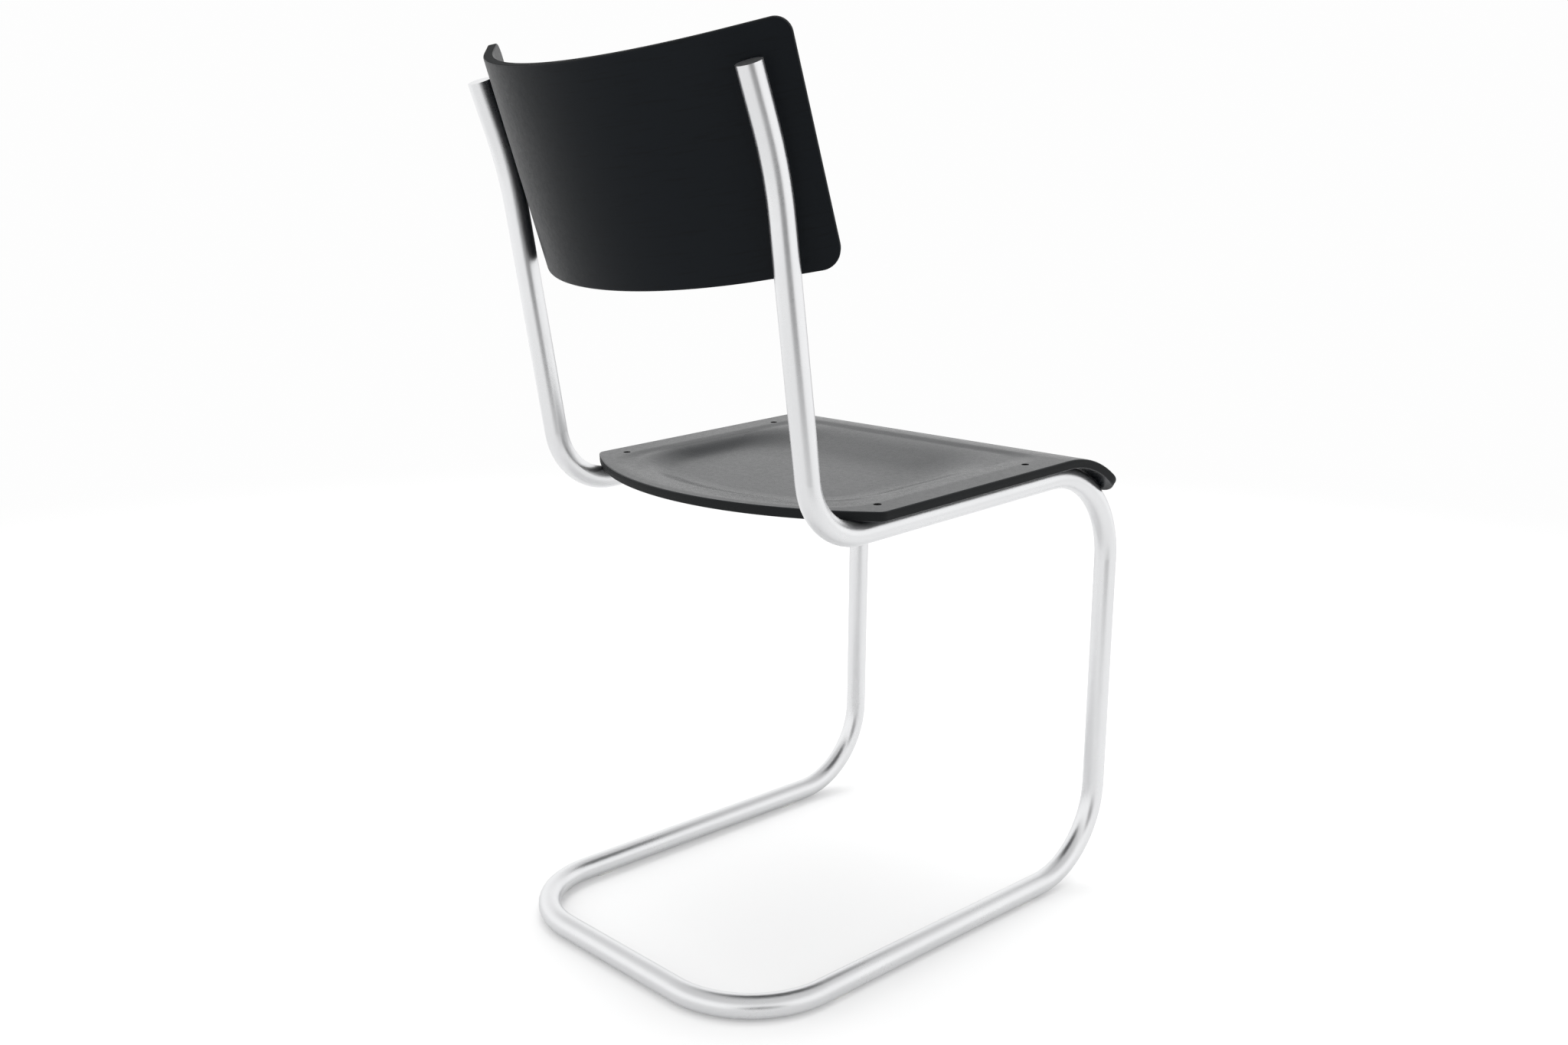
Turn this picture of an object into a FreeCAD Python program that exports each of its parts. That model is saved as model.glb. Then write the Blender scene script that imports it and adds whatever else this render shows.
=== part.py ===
import FreeCAD, Part
import math
import os
import Sketcher

Vector = FreeCAD.Vector
Rotation = FreeCAD.Rotation
Placement = FreeCAD.Placement

xAxis = Vector(1, 0, 0)
zAxis = Vector(0, 0, 1)

os.makedirs("parts", exist_ok=True)
doc = FreeCAD.newDocument("cantilever_chair")

# Driving dimensions, in millimetres and degrees.
# The origin is on the floor under the middle of the chair, the sitter faces -Y and sits along X.
sizes = [
    ("tubeDiameter", 22, "outside diameter of the bent tube"),
    ("tubeWall", 2, "wall of the tube"),
    ("railSpacing", 345, "between the centres of the two side rails and of the two floor runners"),
    ("uprightOffset", 6, "how far the top of each upright stands outside its side rail"),
    ("legFrontY", -276.4, "centre of the front legs"),
    ("crossbarY", 220.8, "centre of the rear floor crossbar"),
    ("railRearY", 145.5, "where the lines of rail and upright meet"),
    ("railRearHeight", 422.7, "height of that corner of the centreline"),
    ("railFrontHeight", 443.2, "height where the lines of rail and front leg meet"),
    ("uprightTopY", 224.7, "end of the tube"),
    ("uprightTopHeight", 800.3, "height of the end of the tube"),
    ("uprightBendDepth", 29.6, "end of the tube behind the corner where the upright's two lines meet"),
    ("uprightBendDrop", 76.9, "that corner of the centreline below the end of the tube"),
    ("uprightBendRadius", 355, "gentle bend behind the backrest"),
    ("rearBendRadius", 61, "bend from rail to upright"),
    ("frontBendRadius", 95, "bend from rail to front leg"),
    ("footBendRadius", 88, "bend from front leg to floor runner"),
    ("cornerBendRadius", 91, "bend from runner to rear crossbar"),
    ("capThickness", 1.5, "disc of the end cap"),
    ("capPlugLength", 12, "plug of the end cap inside the tube"),
    ("capPlugPlay", 0.1, "radial play of the plug in the tube"),
    ("seatOverhang", 23.5, "moulded seat beyond the centre of each side rail"),
    ("seatWidth", "=railSpacing + 2 * seatOverhang", "moulded seat, side to side"),
    ("seatThickness", 9, "moulded plywood of the seat"),
    ("seatStandoff", 0.5, "head of a seat insert above the tube"),
    ("seatLength", 328, "from the axis of the front roll to the middle of the rear edge"),
    ("seatRearRise", 66, "how far the rear edge bulges behind the rear corners"),
    ("seatRollAngle", 50, "how far the front edge rolls down over the tube"),
    ("seatRearCornerRadius", 9, "rear corners of the seat in plan"),
    ("seatFrontCornerRadius", 22, "corners of the rolled front edge"),
    ("seatEdgeRadius", 1.6, "rounded arris of the seat"),
    ("dishSideMargin", 39, "flat border at each side of the dish"),
    ("dishRearMargin", 22, "flat border behind the dish"),
    ("dishFront", 12, "where the dish starts, behind the axis of the front roll"),
    ("dishDepth", 9, "deepest part of the dish below the flat border"),
    ("dishCornerRadius", 110, "rear corners of the dish in plan"),
    ("dishFrontCornerRadius", 80, "front corners of the dish in plan"),
    ("seatScrewFront", 40, "front seat screws, behind the axis of the front roll"),
    ("seatScrewRearMargin", 17, "rear seat screws ahead of the seat's rear corners"),
    ("backThickness", 9, "moulded plywood of the backrest"),
    ("backRadius", 242, "rear face of the backrest, in its curved middle"),
    ("backCurveHalf", 169, "half the curved middle, along the rear face"),
    ("backScrewMargin", 34.4, "backrest screws to the end of the flat flank they sit on"),
    ("backAboveScrews", 47.3, "top edge of the backrest above the upper screws, in the middle"),
    ("backBelowScrews", 78.5, "bottom edge of the backrest below the lower screws, in the middle"),
    ("backTopBow", 3, "how far the ends of the top edge rise above its middle"),
    ("backBottomBow", 4.5, "how far the ends of the bottom edge drop below its middle"),
    ("backTopCornerRadius", 14, "upper corners of the backrest"),
    ("backBottomCornerRadius", 17, "lower corners of the backrest"),
    ("backEdgeRadius", 1.6, "rounded arris of the backrest"),
    ("backScrewDrop", 21.6, "upper backrest screws below the end of the tube"),
    ("backScrewPitch", 60, "height between the upper and the lower backrest screws"),
    ("backStandoff", 1.5, "head of a backrest insert above the tube"),
    ("screwDiameter", 3.9, "shank of the screws"),
    ("screwHeadDiameter", 7, "low cylinder head of the screws"),
    ("screwHeadHeight", 2.8, "low cylinder head of the screws"),
    ("screwSink", 1, "top of a screw head below the face of the plywood"),
    ("screwReach", 16, "length of the shank under the head"),
    ("screwSocket", 2.5, "hexagon socket across flats"),
    ("screwSocketDepth", 1.6, "hexagon socket"),
    ("screwHole", 4.5, "clearance hole in the plywood"),
    ("screwPocket", 7.4, "counterbore for a screw head in the plywood"),
    ("insertDiameter", 6, "body of the threaded inserts"),
    ("insertLength", 8, "body of the threaded inserts inside the tube's outer face"),
    ("insertHeadDiameter", 9, "head of the threaded inserts"),
    ("insertBore", 4, "thread of the inserts, at its major diameter"),
    ("drillPlay", 0.05, "radial play of inserts and glide stems in the tube wall"),
    ("glideHeight", 1.2, "glide below the tube"),
    ("glideLength", 24, "glide along the runner"),
    ("glideWidth", 8, "glide across the runner"),
    ("glideStemDiameter", 6, "stem of a glide in the tube"),
    ("glideStemLength", 7, "stem of a glide above the tube's lowest line"),
    ("glideFrontY", -161, "middle of the front glides"),
    ("glideRearY", 105, "middle of the rear glides"),
]
sheet = doc.addObject("Spreadsheet::Sheet", "Sizes")
for row, (alias, value, note) in enumerate(sizes, start=1):
    sheet.set("A%d" % row, str(value))
    sheet.setAlias("A%d" % row, alias)
    sheet.set("B%d" % row, note)
doc.recompute()


def size(alias):
    """A driving dimension as a number."""
    return float(getattr(sheet, alias))


def bind(thing, **expressions):
    """Tie properties to expressions of the driving dimensions."""
    for name, expression in expressions.items():
        thing.setExpression(name, expression)


def turned(direction, origin):
    """Placement whose Z axis points along a direction."""
    return Placement(origin, Rotation(zAxis, direction))


def roundedWire(corners, radii):
    """Straight runs through the corners, joined by tangent arcs."""
    edges = []
    start = corners[0]
    for index in range(1, len(corners) - 1):
        corner = corners[index]
        before = (corners[index - 1] - corner).normalize()
        after = (corners[index + 1] - corner).normalize()
        half = before.getAngle(after) / 2
        radius = radii[index]
        bisector = (before + after).normalize()
        enter = corner + before * (radius / math.tan(half))
        leave = corner + after * (radius / math.tan(half))
        middle = corner + bisector * (radius / math.sin(half) - radius)
        edges.append(Part.LineSegment(start, enter).toShape())
        edges.append(Part.Arc(enter, middle, leave).toShape())
        start = leave
    edges.append(Part.LineSegment(start, corners[-1]).toShape())
    return Part.Wire(edges)


def cylinder(name, radius, height, placement):
    """A cylinder whose radius and height are expressions."""
    piece = doc.addObject("Part::Cylinder", name)
    bind(piece, Radius=radius, Height=height)
    piece.Placement = placement
    return piece


def fuse(name, pieces):
    """One solid from pieces that touch."""
    piece = doc.addObject("Part::MultiFuse", name)
    piece.Shapes = pieces
    piece.Refine = True
    return piece


def cut(name, base, tool):
    """The base without the tool."""
    piece = doc.addObject("Part::Cut", name)
    piece.Base = base
    piece.Tool = tool
    return piece


def newBody(name):
    """An empty body."""
    return doc.addObject("PartDesign::Body", name)


def newSketch(body, role, name, lift=None):
    """A sketch on one of the body's own planes, lifted off it by an expression."""
    plane = [feature for feature in body.Origin.OriginFeatures if feature.Role == role][0]
    sketch = body.newObject("Sketcher::SketchObject", name)
    sketch.AttachmentSupport = [(plane, "")]
    sketch.MapMode = "FlatFace"
    if lift:
        sketch.setExpression(".AttachmentOffset.Base.z", lift)
    return sketch


def dimension(sketch, kind, places, expression, guess):
    """A sketch dimension that follows an expression."""
    index = sketch.addConstraint(Sketcher.Constraint(kind, *places, guess))
    sketch.setExpression("Constraints[%d]" % index, expression)


def edgesWhere(shape, test):
    """Names of the edges that pass a test."""
    return ["Edge%d" % number for number, edge in enumerate(shape.Edges, start=1) if test(edge)]


def roundOff(body, name, radius, test):
    """Fillet the edges of the body's tip that pass a test."""
    doc.recompute()
    base = body.Tip
    fillet = body.newObject("PartDesign::Fillet", name)
    fillet.Base = (base, edgesWhere(base.Shape, test))
    fillet.setExpression("Radius", radius)
    doc.recompute()
    return fillet


# Centreline of the tube, from the end of the right upright to the end of the left one.
tubeRadius = size("tubeDiameter") / 2
runnerHeight = size("glideHeight") + tubeRadius
railHalf = size("railSpacing") / 2
uprightHalf = railHalf + size("uprightOffset")
bendY = size("uprightTopY") - size("uprightBendDepth")
leftCorners = [
    Vector(uprightHalf, size("uprightTopY"), size("uprightTopHeight")),
    Vector(uprightHalf, bendY, size("uprightTopHeight") - size("uprightBendDrop")),
    Vector(railHalf, size("railRearY"), size("railRearHeight")),
    Vector(railHalf, size("legFrontY"), size("railFrontHeight")),
    Vector(railHalf, size("legFrontY"), runnerHeight),
    Vector(railHalf, size("crossbarY"), runnerHeight),
]
leftRadii = [
    0,
    size("uprightBendRadius"),
    size("rearBendRadius"),
    size("frontBendRadius"),
    size("footBendRadius"),
    size("cornerBendRadius"),
]


def mirrored(point):
    """The same point on the other side of the chair."""
    return Vector(-point.x, point.y, point.z)


tubePath = doc.addObject("Part::Feature", "tube_path")
tubePath.Shape = roundedWire(
    [mirrored(corner) for corner in leftCorners] + leftCorners[::-1],
    leftRadii + leftRadii[::-1],
)
tubeStart = mirrored(leftCorners[0])
tubeStartDirection = (mirrored(leftCorners[1]) - tubeStart).normalize()


def tubeSweep(name, radius):
    """A round rod along the centreline."""
    ring = doc.addObject("Part::Circle", name + "_ring")
    ring.setExpression("Radius", radius)
    ring.Placement = turned(tubeStartDirection, tubeStart)
    sweep = doc.addObject("Part::Sweep", name)
    sweep.Sections = [ring]
    sweep.Spine = (tubePath, [])
    sweep.Solid = True
    return sweep


tubeRod = tubeSweep("tube_rod", "Sizes.tubeDiameter / 2")
tubeBore = tubeSweep("tube_bore", "Sizes.tubeDiameter / 2 - Sizes.tubeWall")
doc.recompute()

# Local frame of the seat: X across, Y back along the rails, Z square to them, on the front bend's axis.
railRear = leftCorners[2]
railFront = leftCorners[3]
railDirection = (railRear - railFront).normalize()
railNormal = xAxis.cross(railDirection)
legDirection = Vector(0, 0, -1)
railBendHalf = railDirection.getAngle(legDirection) / 2
rollBisector = (railDirection + legDirection).normalize()
rollAxis = railFront + rollBisector * (size("frontBendRadius") / math.sin(railBendHalf))
rollAxis.x = 0
seatPlace = Placement(rollAxis, Rotation(xAxis, railDirection, railNormal, "ZXY"))


def seatPoint(across, back, above):
    """A point of the seat's local frame, in the chair's frame."""
    return seatPlace.multVec(Vector(across, back, above))


# Local frame of the backrest: Z up its face, Y backwards, on the axis of its curve.
def uprightPoint(height):
    """Where the left upright's centreline is at a height."""
    reach = 2 * size("uprightTopY")
    slab = Part.makePlane(reach, reach, Vector(0, 0, height))
    cutPoints = tubePath.Shape.section(slab).Vertexes
    return [vertex.Point for vertex in cutPoints if vertex.Point.x > 0][0]


upperHeight = size("uprightTopHeight") - size("backScrewDrop")
screwUpper = uprightPoint(upperHeight)
screwLower = uprightPoint(upperHeight - size("backScrewPitch"))
backLean = screwUpper - screwLower
backLean.x = 0
screwPitch = backLean.Length
backLean.normalize()
backRearward = backLean.cross(xAxis)

# The flanks of the backrest are square to the screws, so the flank's turn is the screws' turn.
flankTurn = size("backCurveHalf") / size("backRadius")
flankOutward = Vector(math.sin(flankTurn), math.cos(flankTurn), 0)
flankAlong = Vector(math.cos(flankTurn), -math.sin(flankTurn), 0)
flankStart = flankOutward * size("backRadius")
tubeBehindBack = size("backStandoff") + tubeRadius
screwStart = flankStart + flankOutward * tubeBehindBack
screwAlong = (screwLower.x - screwStart.x) / flankAlong.x
screwFoot = screwStart + flankAlong * screwAlong
backOrigin = screwLower - backRearward * screwFoot.y
backOrigin.x = 0
backPlace = Placement(backOrigin, Rotation(xAxis, backRearward, backLean, "ZXY"))


def fastenerFrames():
    """Every fastener's name, its place on the tube's centreline and its direction outwards."""
    frames = []
    rearCorner = size("seatLength") - size("seatRearRise")
    seatBacks = {"front": size("seatScrewFront"), "rear": rearCorner - size("seatScrewRearMargin")}
    for side, sign in (("left", 1), ("right", -1)):
        for end, back in seatBacks.items():
            spot = seatPoint(sign * railHalf, back, size("frontBendRadius"))
            frames.append(("seat", "%s_%s" % (end, side), spot, railNormal))
        for level, along in (("upper", screwPitch), ("lower", 0)):
            outward = Vector(-sign * flankOutward.x, -flankOutward.y, 0)
            spot = backPlace.multVec(Vector(sign * screwFoot.x, screwFoot.y, along))
            frames.append(("back", "%s_%s" % (level, side), spot, backPlace.Rotation.multVec(outward)))
    return frames


fasteners = fastenerFrames()

# Bent tube of the frame, drilled for the inserts and the glides.
drills = []
for group, where, spot, outward in fasteners:
    drills.append(cylinder(
        "insert_drill_%s_%s" % (group, where),
        "Sizes.insertDiameter / 2 + Sizes.drillPlay",
        "Sizes.tubeDiameter",
        turned(outward, spot),
    ))
glideSpots = []
for side, sign in (("left", 1), ("right", -1)):
    for end in ("front", "rear"):
        along = size("glideFrontY") if end == "front" else size("glideRearY")
        glideSpots.append(("%s_%s" % (end, side), Vector(sign * railHalf, along, 0)))
for where, spot in glideSpots:
    drills.append(cylinder(
        "stem_drill_" + where,
        "Sizes.glideStemDiameter / 2 + Sizes.drillPlay",
        "Sizes.glideHeight + Sizes.tubeDiameter / 2",
        Placement(spot, Rotation()),
    ))
frameTube = cut("frame_tube", tubeRod, fuse("tube_cuts", [tubeBore] + drills))

# End caps of the two uprights.
caps = []
for side, end in (("left", leftCorners[0]), ("right", tubeStart)):
    below = leftCorners[1] if side == "left" else mirrored(leftCorners[1])
    inward = (below - end).normalize()
    disc = cylinder(
        "cap_disc_" + side,
        "Sizes.tubeDiameter / 2",
        "Sizes.capThickness",
        turned(inward, end - inward * size("capThickness")),
    )
    plug = cylinder(
        "cap_plug_" + side,
        "Sizes.tubeDiameter / 2 - Sizes.tubeWall - Sizes.capPlugPlay",
        "Sizes.capPlugLength",
        turned(inward, end),
    )
    caps.append(fuse("tube_cap_" + side, [disc, plug]))

# Threaded inserts: a sleeve in the tube wall under a head that is hollowed to sit on the tube.
inserts = []
for group, where, spot, outward in fasteners:
    name = "%s_insert_%s" % (group, where)
    standoff = group + "Standoff"
    top = spot + outward * (tubeRadius + size(standoff))
    inwardPlace = turned(outward * -1, top)
    head = cylinder(
        name + "_head",
        "Sizes.insertHeadDiameter / 2",
        "Sizes.tubeDiameter / 2",
        inwardPlace,
    )
    sleeve = cylinder(
        name + "_sleeve",
        "Sizes.insertDiameter / 2",
        "Sizes.insertLength + Sizes." + standoff,
        inwardPlace,
    )
    thread = cylinder(
        name + "_thread",
        "Sizes.insertBore / 2",
        "Sizes.tubeDiameter",
        inwardPlace,
    )
    seated = cut(name + "_saddle", head, tubeRod)
    inserts.append(cut(name, fuse(name + "_blank", [seated, sleeve]), thread))

# Glides under the runners: a long pad with round ends, hollowed for the tube, on a stem.
glides = []
for where, spot in glideSpots:
    name = "glide_" + where
    straight = size("glideLength") - size("glideWidth")
    bar = doc.addObject("Part::Box", name + "_bar")
    bind(
        bar,
        Length="Sizes.glideWidth",
        Width="Sizes.glideLength - Sizes.glideWidth",
        Height="Sizes.glideHeight + Sizes.tubeDiameter / 4",
    )
    bar.Placement.Base = spot - Vector(size("glideWidth") / 2, straight / 2, 0)
    ends = [
        cylinder(
            "%s_end_%d" % (name, number),
            "Sizes.glideWidth / 2",
            "Sizes.glideHeight + Sizes.tubeDiameter / 4",
            Placement(spot + Vector(0, way * straight / 2, 0), Rotation()),
        )
        for number, way in enumerate((-1, 1), start=1)
    ]
    pad = cut(name + "_pad", fuse(name + "_slab", [bar] + ends), tubeRod)
    stem = cylinder(
        name + "_stem",
        "Sizes.glideStemDiameter / 2",
        "Sizes.glideStemLength",
        Placement(spot + Vector(0, 0, size("glideHeight") / 2), Rotation()),
    )
    glides.append(fuse(name, [pad, stem]))
doc.recompute()

# Moulded seat: a flat sheet that rolls down over the front bend of the tube, with a dished middle.
rollInner = "(Sizes.frontBendRadius + Sizes.tubeDiameter / 2 + Sizes.seatStandoff)"
seatUnder = size("frontBendRadius") + tubeRadius + size("seatStandoff")
seatTop = seatUnder + size("seatThickness")
rollAngle = math.radians(size("seatRollAngle"))
seat = newBody("seat_blank")
side = newSketch(seat, "YZ_Plane", "seat_side")


def rolled(radius, angle):
    """A point on the roll, an angle forward of the flat part."""
    return Vector(-radius * math.sin(angle), radius * math.cos(angle), 0)


rearUnder = Vector(size("seatLength"), seatUnder, 0)
rearTop = Vector(size("seatLength"), seatTop, 0)
circleUnder = Part.Circle(Vector(), Vector(0, 0, 1), seatUnder)
circleTop = Part.Circle(Vector(), Vector(0, 0, 1), seatTop)
side.addGeometry([
    Part.LineSegment(rolled(seatUnder, 0), rearUnder),
    Part.LineSegment(rearUnder, rearTop),
    Part.LineSegment(rearTop, rolled(seatTop, 0)),
    Part.ArcOfCircle(circleTop, math.pi / 2, math.pi / 2 + rollAngle),
    Part.LineSegment(rolled(seatTop, rollAngle), rolled(seatUnder, rollAngle)),
    Part.ArcOfCircle(circleUnder, math.pi / 2, math.pi / 2 + rollAngle),
], False)
side.addConstraint([
    Sketcher.Constraint("Coincident", 0, 2, 1, 1),
    Sketcher.Constraint("Coincident", 1, 2, 2, 1),
    Sketcher.Constraint("Coincident", 2, 2, 3, 1),
    Sketcher.Constraint("Coincident", 3, 2, 4, 1),
    Sketcher.Constraint("Coincident", 4, 2, 5, 2),
    Sketcher.Constraint("Coincident", 5, 1, 0, 1),
    Sketcher.Constraint("Coincident", 3, 3, -1, 1),
    Sketcher.Constraint("Coincident", 5, 3, -1, 1),
    Sketcher.Constraint("Horizontal", 0),
    Sketcher.Constraint("Vertical", 1),
    Sketcher.Constraint("Horizontal", 2),
    Sketcher.Constraint("PointOnObject", 3, 1, -2),
    Sketcher.Constraint("PointOnObject", -1, 1, 4),
])
dimension(side, "Radius", (5,), rollInner, seatUnder)
dimension(side, "Radius", (3,), rollInner + " + Sizes.seatThickness", seatTop)
dimension(side, "DistanceX", (-1, 1, 1, 1), "Sizes.seatLength", size("seatLength"))
dimension(
    side,
    "DistanceX",
    (5, 2, -1, 1),
    rollInner + " * sin(Sizes.seatRollAngle * 1 deg)",
    seatUnder * math.sin(rollAngle),
)
sheetPad = seat.newObject("PartDesign::Pad", "seat_sheet")
sheetPad.Profile = side
sheetPad.Midplane = True
sheetPad.setExpression("Length", "Sizes.seatWidth")
doc.recompute()

# Rear edge of the seat: one arc across it, cut square through the sheet.
seatHalf = size("seatWidth") / 2
rise = size("seatRearRise")
rearRadius = (seatHalf ** 2 + rise ** 2) / (2 * rise)
rearCentreY = size("seatLength") - rearRadius
cornerY = size("seatLength") - rise
rearSketch = newSketch(seat, "XY_Plane", "seat_rear_edge")
cornerAngle = math.asin(seatHalf / rearRadius)
rearCircle = Part.Circle(Vector(0, rearCentreY, 0), zAxis, rearRadius)
rearSketch.addGeometry([
    Part.ArcOfCircle(rearCircle, math.pi / 2 - cornerAngle, math.pi / 2 + cornerAngle),
    Part.LineSegment(Vector(-seatHalf, cornerY, 0), Vector(-seatHalf, cornerY + 2 * rise, 0)),
    Part.LineSegment(Vector(-seatHalf, cornerY + 2 * rise, 0), Vector(seatHalf, cornerY + 2 * rise, 0)),
    Part.LineSegment(Vector(seatHalf, cornerY + 2 * rise, 0), Vector(seatHalf, cornerY, 0)),
], False)
rearSketch.addConstraint([
    Sketcher.Constraint("Coincident", 0, 2, 1, 1),
    Sketcher.Constraint("Coincident", 1, 2, 2, 1),
    Sketcher.Constraint("Coincident", 2, 2, 3, 1),
    Sketcher.Constraint("Coincident", 3, 2, 0, 1),
    Sketcher.Constraint("Vertical", 1),
    Sketcher.Constraint("Horizontal", 2),
    Sketcher.Constraint("Vertical", 3),
    Sketcher.Constraint("PointOnObject", 0, 3, -2),
])
dimension(rearSketch, "DistanceX", (2, 1, 2, 2), "Sizes.seatWidth", size("seatWidth"))
dimension(rearSketch, "DistanceY", (-1, 1, 3, 2), "Sizes.seatLength - Sizes.seatRearRise", cornerY)
dimension(rearSketch, "DistanceY", (3, 2, 3, 1), "2 * Sizes.seatRearRise", 2 * rise)
dimension(
    rearSketch,
    "Radius",
    (0,),
    "(Sizes.seatWidth ^ 2 / 4 + Sizes.seatRearRise ^ 2) / (2 * Sizes.seatRearRise)",
    rearRadius,
)
rearCut = seat.newObject("PartDesign::Pocket", "seat_rear_cut")
rearCut.Profile = rearSketch
rearCut.Type = "ThroughAll"
rearCut.Reversed = True
doc.recompute()


def squareToSheet(edge):
    """Is it a straight edge through the thickness of the sheet?"""
    straight = edge.Curve.TypeId == "Part::GeomLine"
    return straight and abs(edge.Length - size("seatThickness")) < 0.01


roundOff(
    seat,
    "seat_rear_corners",
    "Sizes.seatRearCornerRadius",
    lambda edge: squareToSheet(edge) and edge.CenterOfMass.y > 0,
)
roundOff(
    seat,
    "seat_front_corners",
    "Sizes.seatFrontCornerRadius",
    lambda edge: squareToSheet(edge) and edge.CenterOfMass.y < 0,
)


def seatRim(edge):
    """Does the edge run along the rim of the seat?"""
    straight = edge.Curve.TypeId == "Part::GeomLine"
    throughSheet = straight and edge.Length < 2 * size("seatThickness")
    seamOfRoll = straight and abs(edge.CenterOfMass.y) < 0.01
    return not throughSheet and not seamOfRoll


roundOff(seat, "seat_rim", "Sizes.seatEdgeRadius", seatRim)


def dishOutline(inset, frontInset):
    """Closed outline of the dish: arcs and lines, drawn in by an inset at the sides and rear."""
    half = seatHalf - size("dishSideMargin") - inset
    corner = size("dishCornerRadius") - inset
    outer = rearRadius - size("dishRearMargin") - inset
    centre = Vector(0, rearCentreY, 0)
    cornerX = half - corner
    cornerCentre = Vector(cornerX, rearCentreY + math.sqrt((outer - corner) ** 2 - cornerX ** 2), 0)
    join = centre + (cornerCentre - centre).normalize() * outer
    front = size("dishFront") + frontInset
    frontCorner = size("dishFrontCornerRadius") - inset
    turn = math.atan2(join.y - cornerCentre.y, join.x - cornerCentre.x) / 2
    bulge = cornerCentre + Vector(math.cos(turn), math.sin(turn), 0) * corner
    side = Vector(half, cornerCentre.y, 0)
    frontSide = Vector(half, front + frontCorner, 0)
    diagonal = math.sqrt(0.5) * frontCorner
    frontCentre = Vector(half - frontCorner, front + frontCorner, 0)
    frontBulge = frontCentre + Vector(diagonal, -diagonal, 0)
    frontEnd = Vector(half - frontCorner, front, 0)
    rearMiddle = Vector(0, rearCentreY + outer, 0)
    return [
        Part.Arc(join, rearMiddle, mirrored(join)),
        Part.Arc(mirrored(join), mirrored(bulge), mirrored(side)),
        Part.LineSegment(mirrored(side), mirrored(frontSide)),
        Part.Arc(mirrored(frontSide), mirrored(frontBulge), mirrored(frontEnd)),
        Part.LineSegment(mirrored(frontEnd), frontEnd),
        Part.Arc(frontEnd, frontBulge, frontSide),
        Part.LineSegment(frontSide, side),
        Part.Arc(side, bulge, join),
    ]


# The dish falls away in a soft S: share of the depth, inset at the sides, inset at the front.
dishSteps = [(0, 0, 0), (0.06, 7, 18), (0.3, 16, 42), (0.7, 27, 72), (0.94, 38, 100), (1, 50, 125)]


def dishLoft(name, kind, level):
    """Loft of the dish below a level of the sheet."""
    sections = []
    for number, (share, inset, frontInset) in enumerate(dishSteps):
        outline = newSketch(
            seat,
            "XY_Plane",
            "%s_outline_%d" % (name, number),
            "%s - %s * Sizes.dishDepth" % (level, share),
        )
        outline.addGeometry(dishOutline(inset, frontInset), False)
        sections.append(outline)
    loft = seat.newObject(kind, name)
    loft.Profile = sections[0]
    loft.Sections = sections[1:]
    loft.Ruled = False
    doc.recompute()
    return loft


swell = dishLoft("seat_dish_below", "PartDesign::AdditiveLoft", rollInner)
dish = dishLoft("seat_dish_above", "PartDesign::SubtractiveLoft", rollInner + " + Sizes.seatThickness")
seat.Placement = seatPlace
doc.recompute()

# Moulded backrest: a sheet bent round one leaning axis, with four rounded corners.
back = newBody("back_blank")
backFront = size("backRadius") - size("backThickness")
band = newSketch(back, "XY_Plane", "back_band", "-Sizes.backBelowScrews - Sizes.backBottomBow")
circleRear = Part.Circle(Vector(), zAxis, size("backRadius"))
circleFront = Part.Circle(Vector(), zAxis, backFront)
frontStart = flankOutward * backFront
flankLength = screwAlong + size("backScrewMargin")
rearEnd = flankStart + flankAlong * flankLength
frontEnd = frontStart + flankAlong * flankLength
band.addGeometry([
    Part.ArcOfCircle(circleRear, math.pi / 2 - flankTurn, math.pi / 2 + flankTurn),
    Part.LineSegment(mirrored(flankStart), mirrored(rearEnd)),
    Part.LineSegment(mirrored(rearEnd), mirrored(frontEnd)),
    Part.LineSegment(mirrored(frontEnd), mirrored(frontStart)),
    Part.ArcOfCircle(circleFront, math.pi / 2 - flankTurn, math.pi / 2 + flankTurn),
    Part.LineSegment(frontStart, frontEnd),
    Part.LineSegment(frontEnd, rearEnd),
    Part.LineSegment(rearEnd, flankStart),
], False)
band.addConstraint([
    Sketcher.Constraint("Coincident", 0, 3, -1, 1),
    Sketcher.Constraint("Coincident", 4, 3, -1, 1),
    Sketcher.Constraint("Tangent", 0, 2, 1, 1),
    Sketcher.Constraint("Tangent", 0, 1, 7, 2),
    Sketcher.Constraint("Tangent", 4, 2, 3, 2),
    Sketcher.Constraint("Tangent", 4, 1, 5, 1),
    Sketcher.Constraint("Coincident", 1, 2, 2, 1),
    Sketcher.Constraint("Coincident", 2, 2, 3, 1),
    Sketcher.Constraint("Coincident", 5, 2, 6, 1),
    Sketcher.Constraint("Coincident", 6, 2, 7, 1),
    Sketcher.Constraint("Parallel", 1, 3),
    Sketcher.Constraint("Parallel", 5, 7),
    Sketcher.Constraint("Perpendicular", 2, 1),
    Sketcher.Constraint("Perpendicular", 6, 7),
    Sketcher.Constraint("Equal", 1, 7),
])
dimension(band, "Radius", (0,), "Sizes.backRadius", size("backRadius"))
dimension(band, "Radius", (4,), "Sizes.backRadius - Sizes.backThickness", backFront)
dimension(band, "Distance", (7,), "Sizes.backScrewMargin + %.6f" % screwAlong, flankLength)
flankX = "Sizes.backRadius * sin(Sizes.backCurveHalf / Sizes.backRadius * 1 rad)"
dimension(band, "DistanceX", (-1, 1, 0, 1), flankX, flankStart.x)
dimension(band, "DistanceX", (0, 2, -1, 1), flankX, flankStart.x)
bandPad = back.newObject("PartDesign::Pad", "back_sheet")
bandPad.Profile = band
bandPad.setExpression(
    "Length",
    "Sizes.backBelowScrews + Sizes.backBottomBow + Sizes.backAboveScrews + Sizes.backTopBow + %.6f" % screwPitch,
)
doc.recompute()

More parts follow.
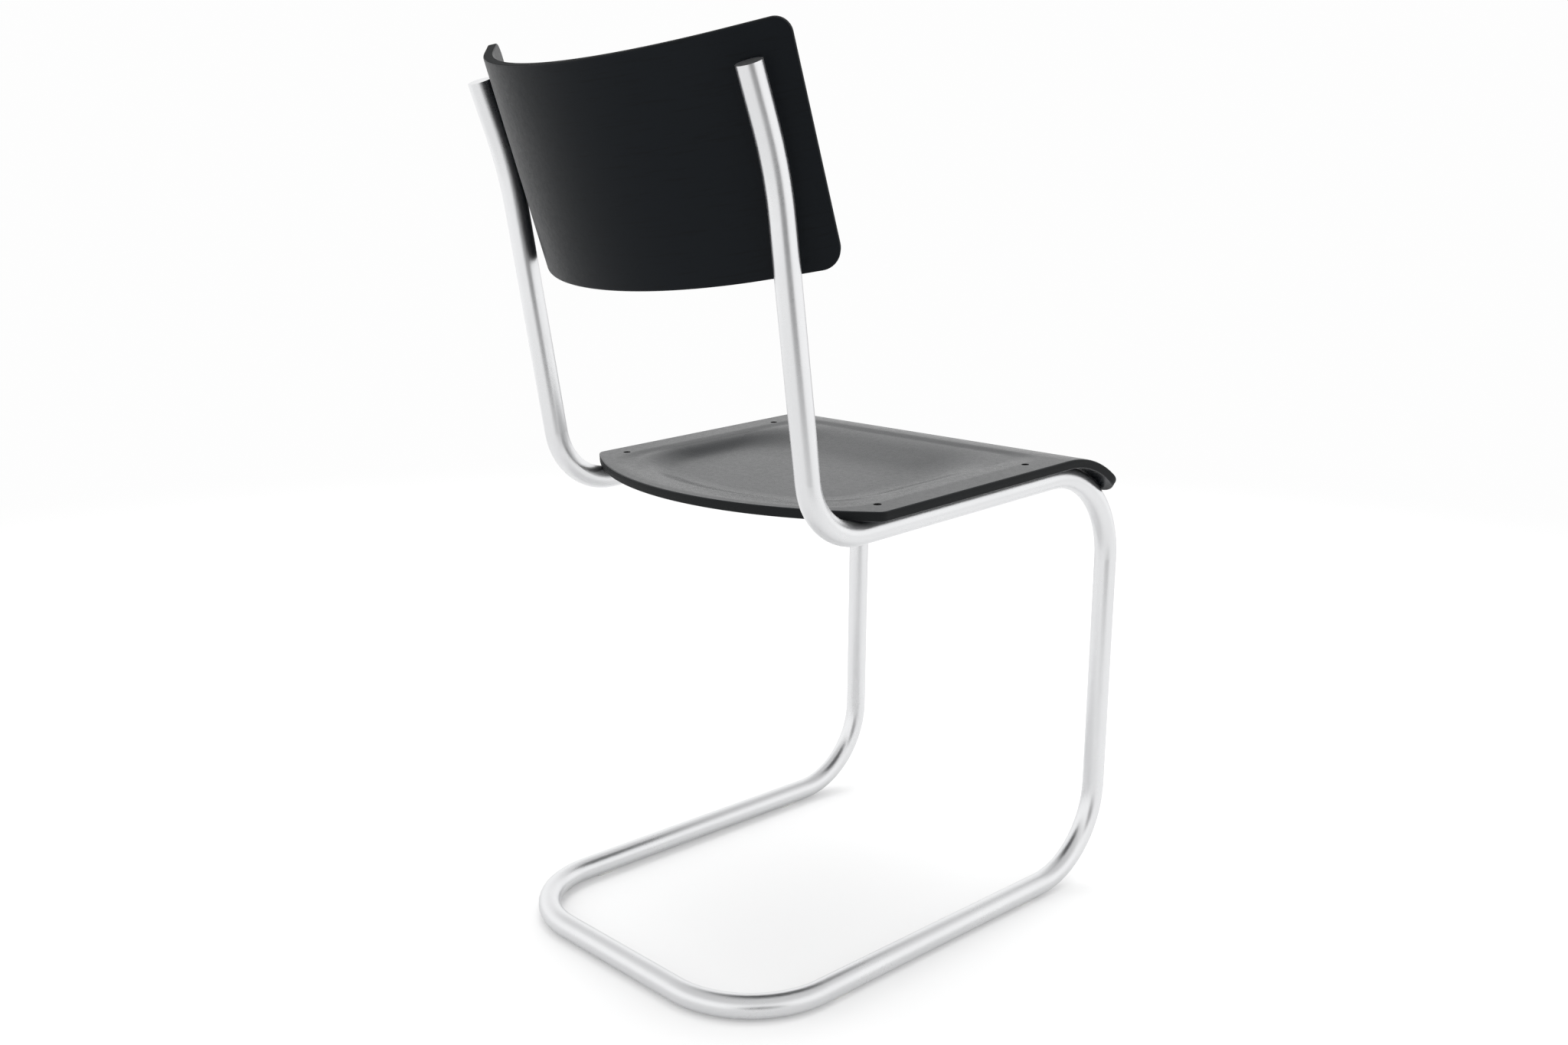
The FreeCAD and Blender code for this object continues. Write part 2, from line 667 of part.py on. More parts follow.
# Top and bottom edges of the backrest: long hollow arcs, cut square to its middle.
backTop = screwPitch + size("backAboveScrews")
backBottom = -size("backBelowScrews")
backMiddle = (backTop + backBottom) / 2
backEndX = rearEnd.x


def bowedCut(name, level, bow):
    """Trim one edge of the backrest to an arc whose ends lie further out than its middle."""
    outline = newSketch(back, "XZ_Plane", name + "_outline")
    ends = [Vector(backEndX * way, level + bow, 0) for way in (-1, 1)]
    far = [Vector(backEndX * way, level + 3 * bow, 0) for way in (1, -1)]
    outline.addGeometry([
        Part.Arc(ends[0], Vector(0, level, 0), ends[1]),
        Part.LineSegment(ends[1], far[0]),
        Part.LineSegment(far[0], far[1]),
        Part.LineSegment(far[1], ends[0]),
    ], False)
    trim = back.newObject("PartDesign::Pocket", name)
    trim.Profile = outline
    trim.Type = "ThroughAll"
    trim.Midplane = True
    doc.recompute()
    return trim


bowedCut("back_top_edge", backTop, size("backTopBow"))
bowedCut("back_bottom_edge", backBottom, -size("backBottomBow"))


def squareToBack(edge):
    """Does the edge run through the thickness of the backrest?"""
    return edge.Length < 2 * size("backThickness")


def backRim(edge):
    """Does the edge run along the rim of the backrest?"""
    return edge.Length > 2 * size("backThickness")


roundOff(
    back,
    "back_top_corners",
    "Sizes.backTopCornerRadius",
    lambda edge: squareToBack(edge) and edge.CenterOfMass.z > backMiddle,
)
roundOff(
    back,
    "back_bottom_corners",
    "Sizes.backBottomCornerRadius",
    lambda edge: squareToBack(edge) and edge.CenterOfMass.z < backMiddle,
)
roundOff(back, "back_rim", "Sizes.backEdgeRadius", backRim)
back.Placement = backPlace
doc.recompute()


def headSeat(group):
    """How far above the tube's centreline the heads of a group's screws rest."""
    sheetTop = tubeRadius + size(group + "Standoff") + size(group + "Thickness")
    return sheetTop - size("screwSink") - size("screwHeadHeight")


def drilled(name, blank, group):
    """The blank with a stepped hole at each of the group's fasteners."""
    holes = []
    for fastened, where, spot, outward in fasteners:
        if fastened != group:
            continue
        holes.append(cylinder(
            "%s_hole_%s" % (group, where),
            "Sizes.screwHole / 2",
            "2 * Sizes.tubeDiameter",
            turned(outward, spot),
        ))
        holes.append(cylinder(
            "%s_pocket_%s" % (group, where),
            "Sizes.screwPocket / 2",
            "Sizes.tubeDiameter",
            turned(outward, spot + outward * headSeat(group)),
        ))
    return cut(name, blank, fuse(group + "_holes", holes))


seatShell = drilled("seat_shell", seat, "seat")
backShell = drilled("back_shell", back, "back")
doc.recompute()


def socketScrew(name, seatAt, outward):
    """Low cylinder-head screw with a hexagon socket, its head resting at a point."""
    screw = newBody(name)
    profile = newSketch(screw, "XZ_Plane", name + "_profile")
    shank = size("screwDiameter") / 2
    headRadius = size("screwHeadDiameter") / 2
    headTop = size("screwHeadHeight")
    reach = size("screwReach")
    lead = shank / 4
    arris = headTop / 8
    outline = [
        Vector(0, -reach, 0),
        Vector(shank - lead, -reach, 0),
        Vector(shank, -reach + lead, 0),
        Vector(shank, 0, 0),
        Vector(headRadius, 0, 0),
        Vector(headRadius, headTop - arris, 0),
        Vector(headRadius - arris, headTop, 0),
        Vector(0, headTop, 0),
        Vector(0, -reach, 0),
    ]
    profile.addGeometry([Part.LineSegment(first, second) for first, second in zip(outline, outline[1:])], False)
    turnedBody = screw.newObject("PartDesign::Revolution", name + "_turned")
    turnedBody.Profile = profile
    turnedBody.ReferenceAxis = (profile, ["V_Axis"])
    turnedBody.Angle = 360
    doc.recompute()
    hexagon = newSketch(screw, "XY_Plane", name + "_hexagon", "Sizes.screwHeadHeight")
    corner = size("screwSocket") / math.sqrt(3)
    points = [
        Vector(corner * math.cos(math.radians(60 * step)), corner * math.sin(math.radians(60 * step)), 0)
        for step in range(7)
    ]
    hexagon.addGeometry([Part.LineSegment(first, second) for first, second in zip(points, points[1:])], False)
    socket = screw.newObject("PartDesign::Pocket", name + "_socket")
    socket.Profile = hexagon
    socket.setExpression("Length", "Sizes.screwSocketDepth")
    screw.Placement = turned(outward, seatAt)
    return screw


screws = []
for group, where, spot, outward in fasteners:
    rest = spot + outward * headSeat(group)
    screws.append(socketScrew("%s_screw_%s" % (group, where), rest, outward))
doc.recompute()

# Check every object, then write one file per piece.
for piece in doc.Objects:
    if "Invalid" in piece.State or "Error" in piece.State:
        raise RuntimeError("%s did not build: %s" % (piece.Label, piece.State))
nodes = [frameTube] + caps + [seatShell, backShell] + screws + inserts + glides
whole = FreeCAD.BoundBox()
for node in nodes:
    if node.Shape.isNull() or not node.Shape.isValid() or len(node.Shape.Solids) != 1:
        raise RuntimeError("%s is not one valid solid" % node.Label)
    whole.add(node.Shape.optimalBoundingBox(False))
    node.Shape.exportStep("parts/%s.step" % node.Label)
print("%d pieces, %.1f wide, %.1f deep, %.1f high" % (
    len(nodes), whole.XLength, whole.YLength, whole.ZLength,
))
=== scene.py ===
import math

import bpy
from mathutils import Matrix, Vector

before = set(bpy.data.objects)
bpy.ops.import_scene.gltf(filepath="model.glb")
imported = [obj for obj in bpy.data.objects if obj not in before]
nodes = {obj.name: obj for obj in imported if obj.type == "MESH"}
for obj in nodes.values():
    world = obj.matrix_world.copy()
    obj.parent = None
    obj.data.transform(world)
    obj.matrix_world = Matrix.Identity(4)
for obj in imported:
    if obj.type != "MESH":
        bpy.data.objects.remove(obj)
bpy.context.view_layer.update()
scene = bpy.context.scene
print("frame loaded:", len(nodes), "nodes")


def heading(azimuth, elevation=0.0):
    # 0 degrees points to -Y, the way the sitter faces, and 90 degrees to +X
    a, e = math.radians(azimuth), math.radians(elevation)
    return Vector((math.sin(a) * math.cos(e), -math.cos(a) * math.cos(e), math.sin(e)))


# The camera stands low behind the chair's right rear corner.
cameraPlace = {
    "location": (-1.04746, 1.02284, 0.71672),
    "azimuth": 226.06,
    "elevation": 12.50,
    "roll": 0.48,
    "lens": 35.42,
    "sensor": 36.0,
}


def placeCamera(place):
    back = heading(place["azimuth"], place["elevation"])
    level = (-back).cross(Vector((0, 0, 1))).normalized()
    upright = back.cross(level)
    roll = math.radians(place["roll"])
    right = level * math.cos(roll) + upright * math.sin(roll)
    up = upright * math.cos(roll) - level * math.sin(roll)
    data = bpy.data.cameras.new("photoCamera")
    data.sensor_fit = "HORIZONTAL"
    data.sensor_width = place["sensor"]
    data.lens = place["lens"]
    camera = bpy.data.objects.new("photoCamera", data)
    scene.collection.objects.link(camera)
    turn = camera.matrix_world.to_3x3()
    turn.col[0], turn.col[1], turn.col[2] = right, up, back
    camera.matrix_world = turn.to_4x4()
    camera.location = place["location"]
    scene.camera = camera


placeCamera(cameraPlace)
print("camera placed")


# Short ways to add and join shader nodes. A value may be a number or another node's socket.
def feed(tree, socket, value):
    if hasattr(value, "is_output"):
        tree.links.new(value, socket)
    else:
        socket.default_value = value


def mathNode(tree, operation, first, second=None, clamp=False):
    node = tree.nodes.new("ShaderNodeMath")
    node.operation = operation
    node.use_clamp = clamp
    feed(tree, node.inputs[0], first)
    if second is not None:
        feed(tree, node.inputs[1], second)
    return node.outputs[0]


def softLeast(tree, first, second, blend):
    # the lesser of two values, with a rounded change from one to the other
    node = tree.nodes.new("ShaderNodeMath")
    node.operation = "SMOOTH_MIN"
    for number, value in enumerate((first, second, blend)):
        feed(tree, node.inputs[number], value)
    return node.outputs[0]


def vectorNode(tree, operation, first, second=None, out="Vector"):
    node = tree.nodes.new("ShaderNodeVectorMath")
    node.operation = operation
    feed(tree, node.inputs[0], first)
    if second is not None:
        feed(tree, node.inputs[1], second)
    return node.outputs[out]


def ramp(tree, value, fromLow, fromHigh, toLow=0.0, toHigh=1.0):
    # a soft change from one level to another, in either direction
    node = tree.nodes.new("ShaderNodeMapRange")
    node.interpolation_type = "SMOOTHSTEP"
    limits = {"From Min": fromLow, "From Max": fromHigh, "To Min": toLow, "To Max": toHigh}
    for name, limit in limits.items():
        feed(tree, node.inputs[name], limit)
    feed(tree, node.inputs["Value"], value)
    return node.outputs["Result"]


# A Mix node takes numbers at its sockets 2 and 3, and colours at 6 and 7.
def blendNumbers(tree, share, first, second):
    node = tree.nodes.new("ShaderNodeMix")
    feed(tree, node.inputs[0], share)
    feed(tree, node.inputs[2], first)
    feed(tree, node.inputs[3], second)
    return node.outputs[0]


def blendColours(tree, share, first, second):
    node = tree.nodes.new("ShaderNodeMix")
    node.data_type = "RGBA"
    feed(tree, node.inputs[0], share)
    feed(tree, node.inputs[6], first if hasattr(first, "is_output") else (*first, 1))
    feed(tree, node.inputs[7], second if hasattr(second, "is_output") else (*second, 1))
    return node.outputs[2]


def noise(tree, vector, scale, detail, roughness):
    node = tree.nodes.new("ShaderNodeTexNoise")
    feed(tree, node.inputs["Vector"], vector)
    feed(tree, node.inputs["Scale"], scale)
    node.inputs["Detail"].default_value = detail
    node.inputs["Roughness"].default_value = roughness
    return node.outputs[0]


def placed(tree, vector, rotation=(0, 0, 0), scale=(1, 1, 1)):
    node = tree.nodes.new("ShaderNodeMapping")
    feed(tree, node.inputs["Vector"], vector)
    node.inputs["Rotation"].default_value = rotation
    node.inputs["Scale"].default_value = scale
    return node.outputs["Vector"]


def split(tree, vector):
    node = tree.nodes.new("ShaderNodeSeparateXYZ")
    feed(tree, node.inputs[0], vector)
    return node.outputs["X"], node.outputs["Y"], node.outputs["Z"]


def joined(tree, x=0.0, y=0.0, z=0.0):
    node = tree.nodes.new("ShaderNodeCombineXYZ")
    for number, value in enumerate((x, y, z)):
        feed(tree, node.inputs[number], value)
    return node.outputs[0]


def multiplied(tree, first, second):
    return mathNode(tree, "MULTIPLY", first, second)


def anyRay(tree, path, *kinds):
    # 1 for a ray of any of these kinds, and otherwise 0
    seen = path.outputs[kinds[0]]
    for kind in kinds[1:]:
        seen = mathNode(tree, "ADD", seen, path.outputs[kind], clamp=True)
    return seen


# The studio is white all round. Reflections alone also see two darker sides and a greyer ceiling.
studio = {
    "floorSize": 60,
    "floorColour": (0.94, 0.94, 0.94),
    "floorLift": 0.12,
    "floorFade": (0.9, 2.6),
    "mirrorLift": 0.4,
    "mirrorNear": 0.32,
    "ambient": 1.14,
    "backdrop": 0.985,
    "ceiling": 0.60,
    "ceilingFrom": (0.42, 0.80),
    "darkSides": (
        {"start": (0, -0.25, 0), "azimuth": 237.5, "cone": (0.87, 0.985), "depth": 0.80, "reach": (0.4, 2.2)},
        {"start": (0, 0, 0), "azimuth": 40.0, "cone": (0.70, 0.97), "depth": 0.50, "reach": (0.5, 2.0)},
    ),
    "lampPower": 36.0,
    "lampSize": 3.0,
    "lampPlace": (0.5, -1.0, 3.0),
    "lampAim": (0, 0, 0.4),
}


def buildFloor(look):
    bpy.ops.mesh.primitive_plane_add(size=look["floorSize"])
    floor = bpy.context.object
    floor.name = "floor"
    material = bpy.data.materials.new("paleFloor")
    material.use_nodes = True
    tree = material.node_tree
    tree.nodes.clear()
    out = tree.nodes.new("ShaderNodeOutputMaterial")
    mix = tree.nodes.new("ShaderNodeMixShader")
    paint = tree.nodes.new("ShaderNodeBsdfDiffuse")
    paint.inputs["Color"].default_value = (*look["floorColour"], 1)
    glow = tree.nodes.new("ShaderNodeEmission")
    path = tree.nodes.new("ShaderNodeLightPath")
    spot = tree.nodes.new("ShaderNodeTexCoord").outputs["Object"]
    mirror = path.outputs["Is Glossy Ray"]
    away = vectorNode(tree, "LENGTH", spot, out="Value")
    lift = blendNumbers(tree, mirror, look["floorLift"], look["mirrorLift"])
    lift = ramp(tree, away, *look["floorFade"], lift, 1.0)
    seen = anyRay(tree, path, "Is Camera Ray", "Is Transmission Ray", "Is Glossy Ray")
    feed(tree, mix.inputs[0], multiplied(tree, lift, seen))
    mirrored = ramp(tree, away, *look["floorFade"], look["mirrorNear"], look["backdrop"])
    for side in look["darkSides"]:
        spread = vectorNode(tree, "SUBTRACT", spot, side["start"])
        direction = vectorNode(tree, "NORMALIZE", spread)
        facing = vectorNode(tree, "DOT_PRODUCT", direction, heading(side["azimuth"]), out="Value")
        distance = vectorNode(tree, "LENGTH", spread, out="Value")
        depth = ramp(tree, distance, *side["reach"], 0.0, side["depth"])
        dark = multiplied(tree, ramp(tree, facing, *side["cone"]), depth)
        mirrored = multiplied(tree, mirrored, mathNode(tree, "SUBTRACT", 1.0, dark))
    feed(tree, glow.inputs["Strength"], blendNumbers(tree, mirror, look["backdrop"], mirrored))
    tree.links.new(paint.outputs[0], mix.inputs[1])
    tree.links.new(glow.outputs[0], mix.inputs[2])
    tree.links.new(mix.outputs[0], out.inputs["Surface"])
    floor.data.materials.append(material)


def buildWorld(look):
    world = bpy.data.worlds.new("whiteStudio")
    world.use_nodes = True
    scene.world = world
    tree = world.node_tree
    sky = tree.nodes["Background"]
    path = tree.nodes.new("ShaderNodeLightPath")
    direction = tree.nodes.new("ShaderNodeTexCoord").outputs["Generated"]
    side = look["darkSides"][0]  # the other one lies on the floor only
    facing = vectorNode(tree, "DOT_PRODUCT", direction, heading(side["azimuth"]), out="Value")
    height = vectorNode(tree, "DOT_PRODUCT", direction, (0, 0, 1), out="Value")
    mirrored = ramp(tree, height, *look["ceilingFrom"], look["backdrop"], look["ceiling"])
    dark = ramp(tree, facing, *side["cone"], 0.0, side["depth"])
    mirrored = multiplied(tree, mirrored, mathNode(tree, "SUBTRACT", 1.0, dark))
    seen = anyRay(tree, path, "Is Camera Ray", "Is Transmission Ray")
    strength = blendNumbers(tree, seen, look["ambient"], look["backdrop"])
    strength = blendNumbers(tree, path.outputs["Is Glossy Ray"], strength, mirrored)
    sky.inputs["Color"].default_value = (1, 1, 1, 1)
    feed(tree, sky.inputs["Strength"], strength)


def buildLamp(look):
    data = bpy.data.lights.new("softTopLamp", "AREA")
    data.shape = "DISK"
    data.size = look["lampSize"]
    data.energy = look["lampPower"]
    lamp = bpy.data.objects.new("softTopLamp", data)
    lamp.location = look["lampPlace"]
    lamp.visible_glossy = False
    aim = Vector(look["lampAim"]) - Vector(look["lampPlace"])
    lamp.rotation_euler = aim.to_track_quat("-Z", "Y").to_euler()
    scene.collection.objects.link(lamp)


buildFloor(studio)
buildWorld(studio)
buildLamp(studio)
print("studio built")


# Effects that several finishes share, as node groups with named sockets.
def newGroup(name, inputs, outputs):
    group = bpy.data.node_groups.new(name, "ShaderNodeTree")
    for label, value in inputs.items():
        kind = "NodeSocketVector" if value is None else "NodeSocketFloat"
        socket = group.interface.new_socket(label, in_out="INPUT", socket_type=kind)
        if value is not None:
            socket.default_value = value
    for label in outputs:
        group.interface.new_socket(label, in_out="OUTPUT", socket_type="NodeSocketFloat")
    return group, group.nodes.new("NodeGroupInput").outputs, group.nodes.new("NodeGroupOutput").inputs


def placeGroup(tree, group, vector, **values):
    node = tree.nodes.new("ShaderNodeGroup")
    node.node_tree = group
    feed(tree, node.inputs["Vector"], vector)
    for name, value in values.items():
        feed(tree, node.inputs[name], value)
    return node.outputs


def buildClouding():
    # slow, uneven patches, as handling and cleaning leave on a finish
    group, given, result = newGroup("clouding", {"Vector": None, "Scale": 9.0, "Contrast": 1.6}, ["Patches"])
    cloud = noise(group, given["Vector"], given["Scale"], detail=5.0, roughness=0.6)
    cloud = multiplied(group, mathNode(group, "SUBTRACT", cloud, 0.5), given["Contrast"])
    feed(group, result["Patches"], mathNode(group, "ADD", cloud, 0.5, clamp=True))
    return group


def buildSpeckle():
    # fine, even tooth of a blasted, plated or sprayed surface
    group, given, result = newGroup("speckle", {"Vector": None, "Scale": 1500.0}, ["Tooth", "Spark"])
    tooth = noise(group, given["Vector"], given["Scale"], detail=2.0, roughness=0.6)
    coarse = noise(group, given["Vector"], multiplied(group, given["Scale"], 0.3), detail=2.0, roughness=0.5)
    feed(group, result["Tooth"], multiplied(group, mathNode(group, "ADD", tooth, coarse), 0.5))
    feed(group, result["Spark"], ramp(group, tooth, 0.56, 0.72))
    return group


def buildGrain():
    # veneer grain under a thin lacquer: long pores and a slower figure, both given as scales
    inputs = {"Vector": None, "Pore Scale": 420.0, "Figure Scale": 60.0}
    group, given, result = newGroup("veneerGrain", inputs, ["Pores", "Figure"])
    pores = noise(group, given["Vector"], given["Pore Scale"], detail=3.0, roughness=0.65)
    figure = noise(group, given["Vector"], given["Figure Scale"], detail=3.0, roughness=0.5)
    feed(group, result["Pores"], ramp(group, pores, 0.52, 0.70))
    feed(group, result["Figure"], figure)
    return group


clouding, speckle, veneerGrain = buildClouding(), buildSpeckle(), buildGrain()
print("effects built")


def newFinish(name, look):
    material = bpy.data.materials.new(name)
    material.use_nodes = True
    shader = material.node_tree.nodes["Principled BSDF"]
    shader.inputs["Metallic"].default_value = look.get("metallic", 0.0)
    shader.inputs["IOR"].default_value = look.get("ior", 1.45)
    coords = material.node_tree.nodes.new("ShaderNodeTexCoord")
    return material, material.node_tree, shader, coords.outputs


def addRelief(tree, shader, height, strength, depth):
    bump = tree.nodes.new("ShaderNodeBump")
    bump.inputs["Strength"].default_value = strength
    bump.inputs["Distance"].default_value = depth
    feed(tree, bump.inputs["Height"], height)
    tree.links.new(bump.outputs["Normal"], shader.inputs["Normal"])


# Satin silver of the tube and its caps.
satinSilver = {
    "metallic": 1.0,
    "light": (0.905, 0.91, 0.92),
    "dull": (0.86, 0.865, 0.875),
    "spark": (0.96, 0.965, 0.975),
    "dullShare": 0.7,
    "sparkShare": 0.35,
    "patchScale": 14.0,
    "patchContrast": 1.8,
    "roughness": (0.27, 0.34),
    "roughSpread": 0.03,
    "toothStrength": 0.22,
    "toothDepth": 0.00006,
    "tubeTooth": 1300.0,
    "capTooth": 1900.0,
}


def clouded(tree, coords, look):
    scales = {"Scale": look["patchScale"], "Contrast": look["patchContrast"]}
    return placeGroup(tree, clouding, coords["Object"], **scales)["Patches"]


def roughened(tree, patches, tooth, roughness, spread):
    # patches set the level, and the fine tooth moves it a little up and down
    level = blendNumbers(tree, patches, *roughness)
    return mathNode(tree, "ADD", level, ramp(tree, tooth, 0.3, 0.7, -spread, spread))


def silverFinish(name, look, toothScale):
    material, tree, shader, coords = newFinish(name, look)
    patches = clouded(tree, coords, look)
    fine = placeGroup(tree, speckle, coords["Object"], Scale=toothScale)
    colour = blendColours(tree, multiplied(tree, patches, look["dullShare"]), look["light"], look["dull"])
    colour = blendColours(tree, multiplied(tree, fine["Spark"], look["sparkShare"]), colour, look["spark"])
    feed(tree, shader.inputs["Base Color"], colour)
    rough = roughened(tree, patches, fine["Tooth"], look["roughness"], look["roughSpread"])
    feed(tree, shader.inputs["Roughness"], rough)
    addRelief(tree, shader, fine["Tooth"], look["toothStrength"], look["toothDepth"])
    return material


# Black stained and lacquered plywood: a satin face with faint grain, and its veneers at the edges.
blackPly = {
    "seat": {"ior": 1.36, "roughness": (0.22, 0.27)},
    "back": {"ior": 1.22, "roughness": (0.34, 0.42)},
    "stain": (0.0032, 0.0048, 0.0068),
    "pore": (0.0022, 0.0032, 0.0044),
    "edge": (0.0030, 0.0042, 0.0052),
    "glueLine": (0.0014, 0.0019, 0.0024),
    "poreShare": 0.8,
    "patchScale": 7.0,
    "patchContrast": 1.8,
    "toothScale": 700.0,
    "roughSpread": 0.04,
    "edgeRoughness": 0.7,
    "edgeFacing": (0.75, 0.35),
    "veneer": 0.009 / 7,
    "glueWidth": (0.10, 0.03),
    "toothHeight": 1.6,
    "figureHeight": 0.2,
    "poreHeight": 0.35,
    "reliefStrength": 0.3,
    "reliefDepth": 0.00008,
}


def plyFinish(name, look, sheet, grainVector, depth, sheetNormal, rim=None):
    # depth counts metres through the sheet, and sheetNormal is square to its faces there
    material, tree, shader, coords = newFinish(name, sheet)
    spot = coords["Object"]
    tooth = placeGroup(tree, speckle, spot, Scale=look["toothScale"])["Tooth"]
    grain = placeGroup(tree, veneerGrain, grainVector(tree, spot))
    patches = clouded(tree, coords, look)
    facing = vectorNode(tree, "DOT_PRODUCT", coords["Normal"], sheetNormal(tree, spot), out="Value")
    onEdge = ramp(tree, mathNode(tree, "ABSOLUTE", facing), *look["edgeFacing"])
    layer = mathNode(tree, "DIVIDE", depth(tree, spot), look["veneer"])
    glue = ramp(tree, mathNode(tree, "PINGPONG", layer, 0.5), *look["glueWidth"])
    glue = multiplied(tree, glue, onEdge)
    pores = multiplied(tree, grain["Pores"], look["poreShare"])
    face = blendColours(tree, pores, look["stain"], look["pore"])
    colour = blendColours(tree, onEdge, face, look["edge"])
    feed(tree, shader.inputs["Base Color"], blendColours(tree, glue, colour, look["glueLine"]))
    rough = roughened(tree, patches, tooth, sheet["roughness"], look["roughSpread"])
    feed(tree, shader.inputs["Roughness"], blendNumbers(tree, onEdge, rough, look["edgeRoughness"]))
    raised = multiplied(tree, tooth, look["toothHeight"])
    raised = mathNode(tree, "ADD", raised, multiplied(tree, grain["Figure"], look["figureHeight"]))
    lowered = mathNode(tree, "ADD", multiplied(tree, grain["Pores"], look["poreHeight"]), glue)
    height = mathNode(tree, "SUBTRACT", raised, lowered)
    if rim:
        height = mathNode(tree, "ADD", height, rim(tree, spot))
    addRelief(tree, shader, height, look["reliefStrength"], look["reliefDepth"])
    return material


# Where the two sheets lie. The seat's roll turns about rollAxis, and its flat part starts there.
seatSheet = {
    "rollAxis": (0, -0.1811, 0.3432),
    "slope": math.radians(-2.784),
    "underside": 0.1065,
    "topFace": (0.108, 0.112),
    "grainStretch": (1.0, 0.06, 0.06),
    "dishSide": 0.157,
    "dishFront": 0.012,
    "dishRear": 0.302,
    "dishRearCentre": (0, 0.004, 0),
    "dishCorner": 0.05,
    "rimFall": (-0.014, 0.007),
    "rimRise": 80.0,
}

# The backrest bends about a leaning axis, as far round as turn on each side.
backSheet = {
    "axis": (0, 0.02305, 0.77802),
    "lean": math.radians(18.95),
    "turn": math.radians(40.01),
    "rear": 0.242,
    "grainStretch": (0.06, 0.06, 1.0),
}


def seatLocal(tree, vector):
    moved = vectorNode(tree, "SUBTRACT", vector, seatSheet["rollAxis"])
    return placed(tree, moved, rotation=(-seatSheet["slope"], 0, 0))


def seatRadius(tree, vector):
    # straight up on the flat part, outwards from the axis on the roll
    _, along, up = split(tree, seatLocal(tree, vector))
    return joined(tree, y=mathNode(tree, "MINIMUM", along, 0.0), z=up)


def seatDepth(tree, vector):
    length = vectorNode(tree, "LENGTH", seatRadius(tree, vector), out="Value")
    return mathNode(tree, "SUBTRACT", length, seatSheet["underside"])


def seatNormal(tree, vector):
    square = vectorNode(tree, "NORMALIZE", seatRadius(tree, vector))
    return placed(tree, square, rotation=(seatSheet["slope"], 0, 0))


def seatRim(tree, vector):
    # the flat border eases into the dish: a low step along the dish's outline, in units of the relief
    across, along, up = split(tree, seatLocal(tree, vector))
    inPlan = joined(tree, x=across, y=along)
    fromCentre = vectorNode(tree, "DISTANCE", inPlan, seatSheet["dishRearCentre"], out="Value")
    fromSide = mathNode(tree, "SUBTRACT", seatSheet["dishSide"], mathNode(tree, "ABSOLUTE", across))
    fromRear = mathNode(tree, "SUBTRACT", seatSheet["dishRear"], fromCentre)
    fromFront = mathNode(tree, "SUBTRACT", along, seatSheet["dishFront"])
    inside = softLeast(tree, fromSide, fromRear, seatSheet["dishCorner"])
    inside = softLeast(tree, inside, fromFront, seatSheet["dishCorner"])
    step = ramp(tree, inside, *seatSheet["rimFall"], seatSheet["rimRise"], 0.0)
    return multiplied(tree, step, ramp(tree, up, *seatSheet["topFace"]))


def seatGrain(tree, vector):
    return placed(tree, vector, scale=seatSheet["grainStretch"])


def backLocal(tree, vector):
    moved = vectorNode(tree, "SUBTRACT", vector, backSheet["axis"])
    return placed(tree, moved, rotation=(backSheet["lean"], 0, 0))


def backRadius(tree, vector):
    # outwards from the axis, but no further round than the flat flanks
    across, along, _ = split(tree, backLocal(tree, vector))
    angle = mathNode(tree, "ARCTAN2", mathNode(tree, "ABSOLUTE", across), along)
    angle = mathNode(tree, "MINIMUM", angle, backSheet["turn"])
    sideways = multiplied(tree, mathNode(tree, "SINE", angle), mathNode(tree, "SIGN", across))
    return joined(tree, x=sideways, y=mathNode(tree, "COSINE", angle))


def backDepth(tree, vector):
    reach = vectorNode(tree, "DOT_PRODUCT", backLocal(tree, vector), backRadius(tree, vector), out="Value")
    return mathNode(tree, "SUBTRACT", backSheet["rear"], reach)


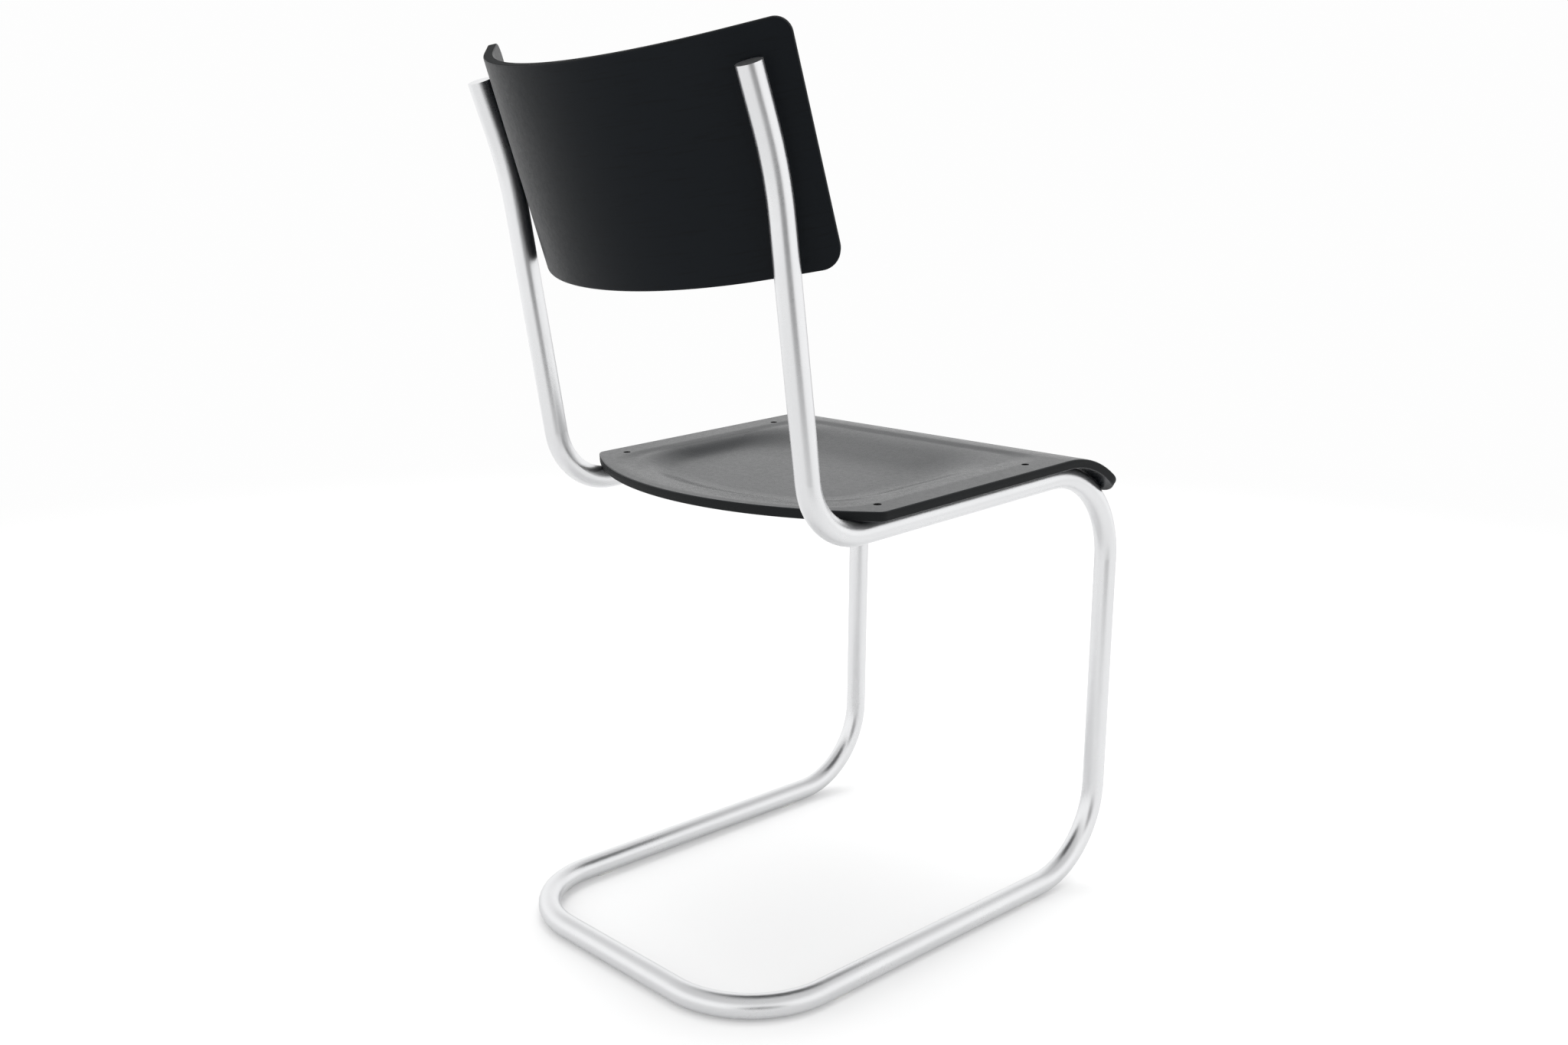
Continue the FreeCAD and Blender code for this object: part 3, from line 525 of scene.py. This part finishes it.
def backNormal(tree, vector):
    return placed(tree, backRadius(tree, vector), rotation=(-backSheet["lean"], 0, 0))


def backGrain(tree, vector):
    return placed(tree, backLocal(tree, vector), scale=backSheet["grainStretch"])


# Small parts: screws in black oxide, plated inserts and plastic glides.
smallParts = {
    "patchScale": 260.0,
    "patchContrast": 2.2,
    "toothStrength": 0.2,
    "toothDepth": 0.00005,
}
oxide = {"metallic": 1.0, "light": (0.014, 0.014, 0.015), "dull": (0.008, 0.008, 0.009), "rough": (0.4, 0.55)}
zinc = {"metallic": 1.0, "light": (0.62, 0.63, 0.64), "dull": (0.5, 0.51, 0.52), "rough": (0.25, 0.4)}
nylon = {"ior": 1.53, "light": (0.72, 0.72, 0.70), "dull": (0.62, 0.62, 0.60), "rough": (0.45, 0.6)}


def smallFinish(name, look, toothScale):
    material, tree, shader, coords = newFinish(name, look)
    patches = clouded(tree, coords, smallParts)
    tooth = placeGroup(tree, speckle, coords["Object"], Scale=toothScale)["Tooth"]
    feed(tree, shader.inputs["Base Color"], blendColours(tree, patches, look["light"], look["dull"]))
    feed(tree, shader.inputs["Roughness"], blendNumbers(tree, patches, *look["rough"]))
    addRelief(tree, shader, tooth, smallParts["toothStrength"], smallParts["toothDepth"])
    return material


seat, back = blackPly["seat"], blackPly["back"]
finishes = {
    "frame_tube": silverFinish("satinSilverTube", satinSilver, satinSilver["tubeTooth"]),
    "tube_cap": silverFinish("satinSilverCap", satinSilver, satinSilver["capTooth"]),
    "seat_shell": plyFinish("blackPlySeat", blackPly, seat, seatGrain, seatDepth, seatNormal, seatRim),
    "back_shell": plyFinish("blackPlyBack", blackPly, back, backGrain, backDepth, backNormal),
    "screw": smallFinish("blackOxideScrew", oxide, 2600.0),
    "insert": smallFinish("zincInsert", zinc, 2600.0),
    "glide": smallFinish("greyNylonGlide", nylon, 1800.0),
}
for name, node in nodes.items():
    finish = next(finishes[key] for key in finishes if key in name)
    node.data.materials.clear()
    node.data.materials.append(finish)
print("finishes set on", len(nodes), "nodes")


scene.view_settings.view_transform = "Standard"
